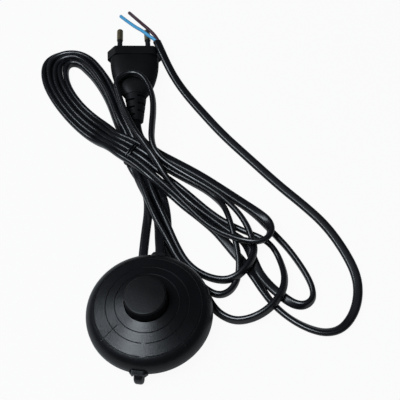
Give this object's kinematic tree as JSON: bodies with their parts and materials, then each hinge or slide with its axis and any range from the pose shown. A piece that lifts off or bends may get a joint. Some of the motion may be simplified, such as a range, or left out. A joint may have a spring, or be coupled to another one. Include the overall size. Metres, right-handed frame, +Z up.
{
  "type": "lamp foot switch",
  "caption": "Round in-line foot switch with a sprung push button, wired into a tied flat lamp cord with a moulded pin plug and a stripped lamp end.",
  "frame": {"origin": "middle of the switch on the floor, under the button's axis", "axes": "+Z up along the button's axis, Y along the cord through the housing with the back hood at +Y, +X to the right seen from the front hood"},
  "size_m": [0.215, 0.2634, 0.0335],
  "materials": {
    "housing_plastic": "satin black moulding",
    "button_plastic": "satin black moulding",
    "works_plastic": "natural nylon",
    "clamp_plastic": "dark fibre bar",
    "foot_rubber": "soft black rubber",
    "steel": "zinc-plated steel",
    "brass": "bare brass",
    "cord_sheath": "black flexible vinyl sheath",
    "tie_sheath": "black vinyl-coated wire",
    "blue_insulation": "blue vinyl",
    "brown_insulation": "brown vinyl",
    "plug_vinyl": "black moulded vinyl",
    "pin_metal": "nickel-plated brass"
  },
  "bodies": {
    "housing": {"top_cover": "housing_plastic", "base_plate": "housing_plastic", "rotor_axle": "steel", "return_spring": "steel", "contact_left": "brass", "contact_right": "brass", "neutral_link": "brass", "terminal_screws": "steel", "clamp_front": "clamp_plastic", "clamp_back": "clamp_plastic", "clamp_screws": "steel", "cover_screws": "steel", "rubber_feet": "foot_rubber", "live_cores": "brown_insulation", "neutral_cores": "blue_insulation", "front_lead": "cord_sheath", "back_lead": "cord_sheath", "plug_lead": "cord_sheath", "loose_turn_top": "cord_sheath", "loose_turn_a": "cord_sheath", "loose_turn_b": "cord_sheath", "loose_turn_c": "cord_sheath", "loose_turn_d": "cord_sheath", "lamp_lead": "cord_sheath", "blue_core": "blue_insulation", "brown_core": "brown_insulation", "plug_body": "plug_vinyl", "plug_pins": "pin_metal", "pin_sleeves": "plug_vinyl", "cord_hank": "cord_sheath", "cord_tie": "tie_sheath"},
    "button": {"push_button": "button_plastic", "plunger": "works_plastic"},
    "rotor": {"ratchet_rotor": "works_plastic", "contact_bridge": "brass"}
  },
  "joints": [
    {"name": "button_press", "type": "slide", "parent": "housing", "child": "button", "axis": [0, 0, -1], "range_m": [0, 0.004], "stiffness_N_per_m": 800, "springref_m": -0.003, "deforming": ["return_spring"]},
    {"name": "rotor_index", "type": "hinge", "parent": "housing", "child": "rotor", "pos_m": [0, 0, 0.0084], "axis": [0, 0, 1], "range_deg": [0, 45]}
  ],
  "couplings": [
    {"joint": "rotor_index", "follows": "button_press", "rad_per_m": 196.35}
  ]
}
